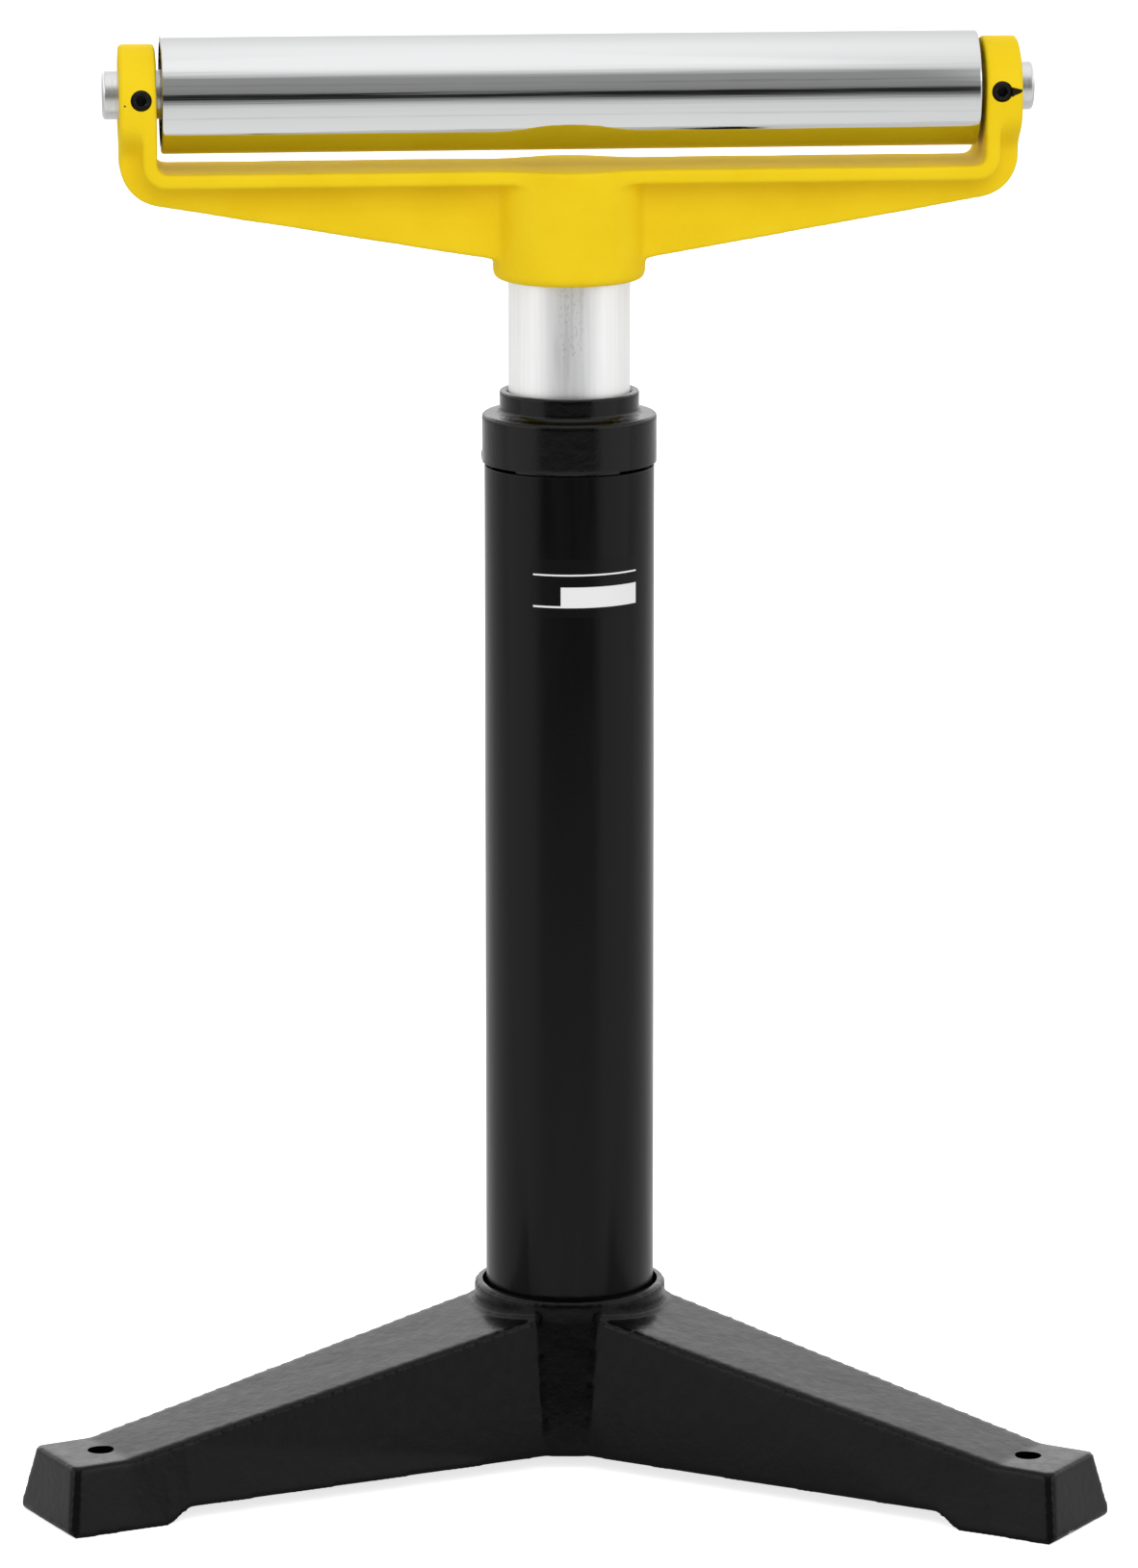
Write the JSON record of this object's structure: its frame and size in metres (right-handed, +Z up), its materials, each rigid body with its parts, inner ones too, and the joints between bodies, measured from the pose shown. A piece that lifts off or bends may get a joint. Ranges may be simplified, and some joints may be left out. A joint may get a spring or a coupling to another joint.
{
  "type": "roller stand",
  "caption": "Height-adjustable roller stand: cast tripod base, column with clamped sliding post, and a cast yoke carrying a free-turning steel roller that supports long workpieces.",
  "frame": {"origin": "middle of the footprint's box, on the floor under the feet", "axes": "+Z up along the column, front towards -Y, +X to the right seen from the front; the yoke is turned 6.2 degrees about +Z at rest"},
  "size_m": [0.4472, 0.3872, 0.5967],
  "materials": {
    "black_casting": "black paint on rough cast iron",
    "black_paint": "satin black paint on steel tube",
    "yellow_paint": "yellow enamel on cast iron",
    "chrome": "polished chrome plate",
    "zinc_steel": "satin zinc plate",
    "bearing_steel": "ground bearing steel",
    "black_steel": "black oxide",
    "black_plastic": "moulded phenolic",
    "pale_plastic": "turned nylon",
    "black_rubber": "moulded seal"
  },
  "bodies": {
    "stand": {"base_casting": "black_casting", "base_set_screw_left": "black_steel", "base_set_screw_right": "black_steel", "column_tube": "black_paint", "clamp_collar": "black_casting", "clamp_bolt": "zinc_steel", "clamp_washer": "zinc_steel"},
    "clamp_handle": {"clamp_lever": "black_steel", "lever_knob": "black_plastic"},
    "guide_bush": {"post_guide_bush": "pale_plastic"},
    "head": {"post_tube": "zinc_steel", "bush_circlip_lower": "black_steel", "bush_circlip_upper": "black_steel", "yoke_casting": "yellow_paint", "hub_set_screw_left": "black_steel", "hub_set_screw_right": "black_steel", "axle": "zinc_steel", "axle_set_screw_left": "black_steel", "axle_set_screw_right": "black_steel", "axle_circlip_left": "black_steel", "axle_circlip_right": "black_steel", "bearing_inner_race_left": "bearing_steel", "bearing_inner_race_right": "bearing_steel"},
    "roller": {"roller_tube": "chrome", "bearing_outer_race_left": "bearing_steel", "bearing_outer_race_right": "bearing_steel", "bearing_seal_left_a": "black_rubber", "bearing_seal_left_b": "black_rubber", "bearing_seal_right_a": "black_rubber", "bearing_seal_right_b": "black_rubber"},
    "ball_cage_left": {"bearing_ball_cage_left": "bearing_steel"},
    "ball_cage_right": {"bearing_ball_cage_right": "bearing_steel"}
  },
  "joints": [
    {"name": "height_slide", "type": "slide", "parent": "stand", "child": "guide_bush", "axis": [0, 0, 1], "range_m": [-0.0455, 0.259]},
    {"name": "head_swivel", "type": "hinge", "parent": "guide_bush", "child": "head", "pos_m": [0, -0.05037, 0.45], "axis": [0, 0, 1], "continuous": true},
    {"name": "roller_spin", "type": "hinge", "parent": "head", "child": "roller", "pos_m": [0, -0.05037, 0.5725], "axis": [0.9942, 0.108, 0], "continuous": true},
    {"name": "cage_left_spin", "type": "hinge", "parent": "head", "child": "ball_cage_left", "pos_m": [0, -0.05037, 0.5725], "axis": [0.9942, 0.108, 0], "continuous": true},
    {"name": "cage_right_spin", "type": "hinge", "parent": "head", "child": "ball_cage_right", "pos_m": [0, -0.05037, 0.5725], "axis": [0.9942, 0.108, 0], "continuous": true},
    {"name": "lever_swing", "type": "hinge", "parent": "stand", "child": "clamp_handle", "pos_m": [0, -0.00037, 0.4298], "axis": [1, 0, 0], "range_deg": [0, 75]}
  ],
  "couplings": [
    {"joint": "cage_left_spin", "follows": "roller_spin", "ratio": 0.6024},
    {"joint": "cage_right_spin", "follows": "roller_spin", "ratio": 0.6024}
  ]
}
